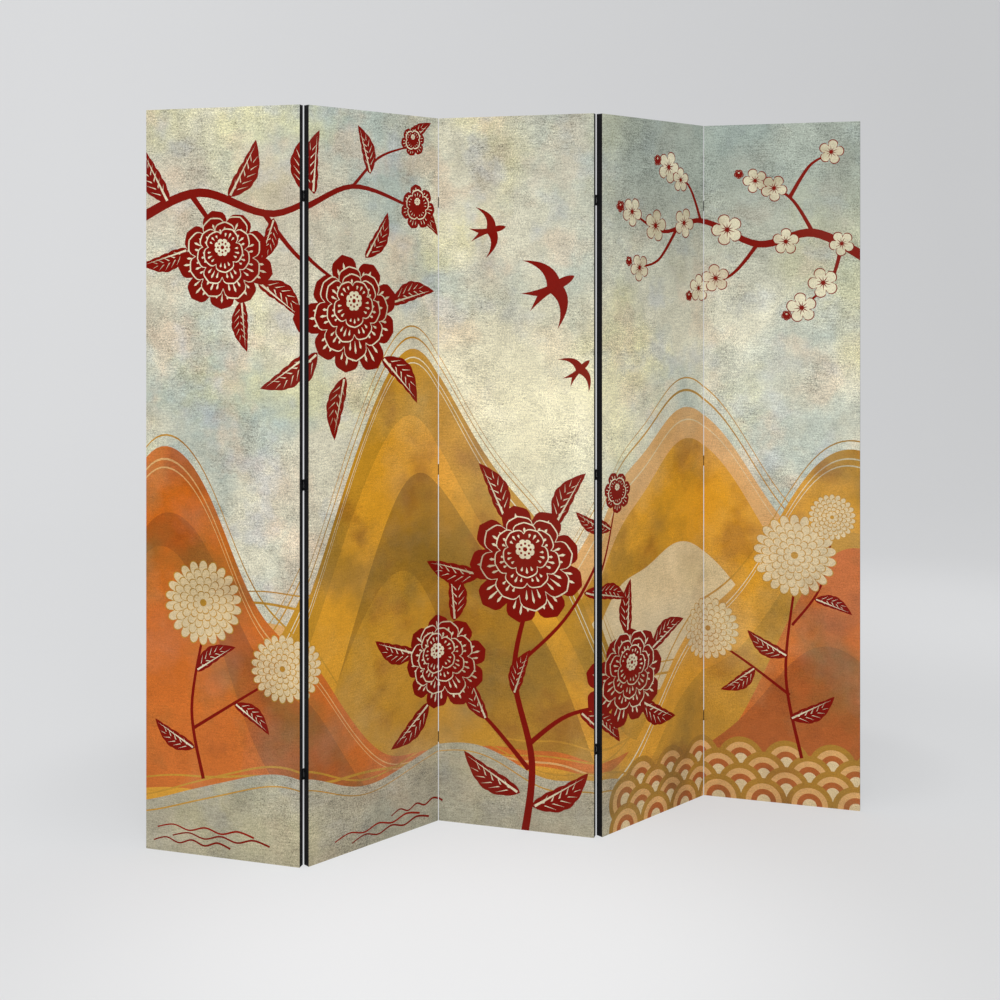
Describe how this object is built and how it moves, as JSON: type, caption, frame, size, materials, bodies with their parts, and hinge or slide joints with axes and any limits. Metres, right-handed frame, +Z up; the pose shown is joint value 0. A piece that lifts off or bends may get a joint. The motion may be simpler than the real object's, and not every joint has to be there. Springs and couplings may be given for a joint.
{
  "type": "folding room divider",
  "caption": "Tall folding screen of canvas-covered wooden panels joined by two-way hinges, standing in a zigzag as a partition.",
  "frame": {"origin": "on the floor, in the middle of the box round the standing zigzag", "axes": "+X along the zigzag to the viewer's right, the printed fronts face -Y, +Z up"},
  "size_m": [1.7648, 0.217, 1.75],
  "materials": {
    "fir_frame": "planed, raw",
    "printed_canvas": "matt print",
    "black_cloth": "matt",
    "hinge_steel": "black, satin",
    "pin_steel": "black, satin",
    "screw_steel": "black, satin"
  },
  "bodies": {
    "panel_1": {"panel_1_left_stile": "fir_frame", "panel_1_right_stile": "fir_frame", "panel_1_bottom_rail": "fir_frame", "panel_1_middle_rail": "fir_frame", "panel_1_top_rail": "fir_frame", "panel_1_front_canvas": "printed_canvas", "panel_1_back_cloth": "black_cloth", "panel_1_hinge_screws": "screw_steel", "fold_1_left_leaves": "hinge_steel", "fold_1_front_pins": "pin_steel"},
    "panel_2": {"panel_2_left_stile": "fir_frame", "panel_2_right_stile": "fir_frame", "panel_2_bottom_rail": "fir_frame", "panel_2_middle_rail": "fir_frame", "panel_2_top_rail": "fir_frame", "panel_2_front_canvas": "printed_canvas", "panel_2_back_cloth": "black_cloth", "panel_2_hinge_screws": "screw_steel", "fold_2_left_leaves": "hinge_steel", "fold_2_front_pins": "pin_steel", "fold_1_right_leaves": "hinge_steel", "fold_1_back_pins": "pin_steel"},
    "panel_3": {"panel_3_left_stile": "fir_frame", "panel_3_right_stile": "fir_frame", "panel_3_bottom_rail": "fir_frame", "panel_3_middle_rail": "fir_frame", "panel_3_top_rail": "fir_frame", "panel_3_front_canvas": "printed_canvas", "panel_3_back_cloth": "black_cloth", "panel_3_hinge_screws": "screw_steel", "fold_3_left_leaves": "hinge_steel", "fold_3_front_pins": "pin_steel", "fold_2_right_leaves": "hinge_steel", "fold_2_back_pins": "pin_steel"},
    "panel_4": {"panel_4_left_stile": "fir_frame", "panel_4_right_stile": "fir_frame", "panel_4_bottom_rail": "fir_frame", "panel_4_middle_rail": "fir_frame", "panel_4_top_rail": "fir_frame", "panel_4_front_canvas": "printed_canvas", "panel_4_back_cloth": "black_cloth", "panel_4_hinge_screws": "screw_steel", "fold_4_left_leaves": "hinge_steel", "fold_4_front_pins": "pin_steel", "fold_3_right_leaves": "hinge_steel", "fold_3_back_pins": "pin_steel"},
    "panel_5": {"panel_5_left_stile": "fir_frame", "panel_5_right_stile": "fir_frame", "panel_5_bottom_rail": "fir_frame", "panel_5_middle_rail": "fir_frame", "panel_5_top_rail": "fir_frame", "panel_5_front_canvas": "printed_canvas", "panel_5_back_cloth": "black_cloth", "panel_5_hinge_screws": "screw_steel", "fold_4_right_leaves": "hinge_steel", "fold_4_back_pins": "pin_steel"},
    "link_1": {"fold_1_links": "hinge_steel"},
    "link_2": {"fold_2_links": "hinge_steel"},
    "link_3": {"fold_3_links": "hinge_steel"},
    "link_4": {"fold_4_links": "hinge_steel"}
  },
  "joints": [
    {"name": "fold_2_back_pivot", "type": "hinge", "parent": "panel_3", "child": "link_2", "pos_m": [-0.16691, 0.10756, 0.875], "axis": [0, 0, 1], "range_deg": [-175, 0]},
    {"name": "fold_2_front_pivot", "type": "hinge", "parent": "link_2", "child": "panel_2", "pos_m": [-0.17651, 0.09094, 0.875], "axis": [0, 0, 1], "range_deg": [-60, 120]},
    {"name": "fold_1_back_pivot", "type": "hinge", "parent": "panel_2", "child": "link_1", "pos_m": [-0.52992, -0.09094, 0.875], "axis": [0, 0, -1], "range_deg": [-60, 120]},
    {"name": "fold_1_front_pivot", "type": "hinge", "parent": "link_1", "child": "panel_1", "pos_m": [-0.53952, -0.10756, 0.875], "axis": [0, 0, -1], "range_deg": [-175, 0]},
    {"name": "fold_3_front_pivot", "type": "hinge", "parent": "panel_3", "child": "link_3", "pos_m": [0.16731, -0.10756, 0.875], "axis": [0, 0, 1], "range_deg": [-175, 0]},
    {"name": "fold_3_back_pivot", "type": "hinge", "parent": "link_3", "child": "panel_4", "pos_m": [0.17691, -0.09094, 0.875], "axis": [0, 0, 1], "range_deg": [-60, 120]},
    {"name": "fold_4_front_pivot", "type": "hinge", "parent": "panel_4", "child": "link_4", "pos_m": [0.53032, 0.09094, 0.875], "axis": [0, 0, -1], "range_deg": [-60, 120]},
    {"name": "fold_4_back_pivot", "type": "hinge", "parent": "link_4", "child": "panel_5", "pos_m": [0.53992, 0.10756, 0.875], "axis": [0, 0, -1], "range_deg": [-175, 0]}
  ]
}
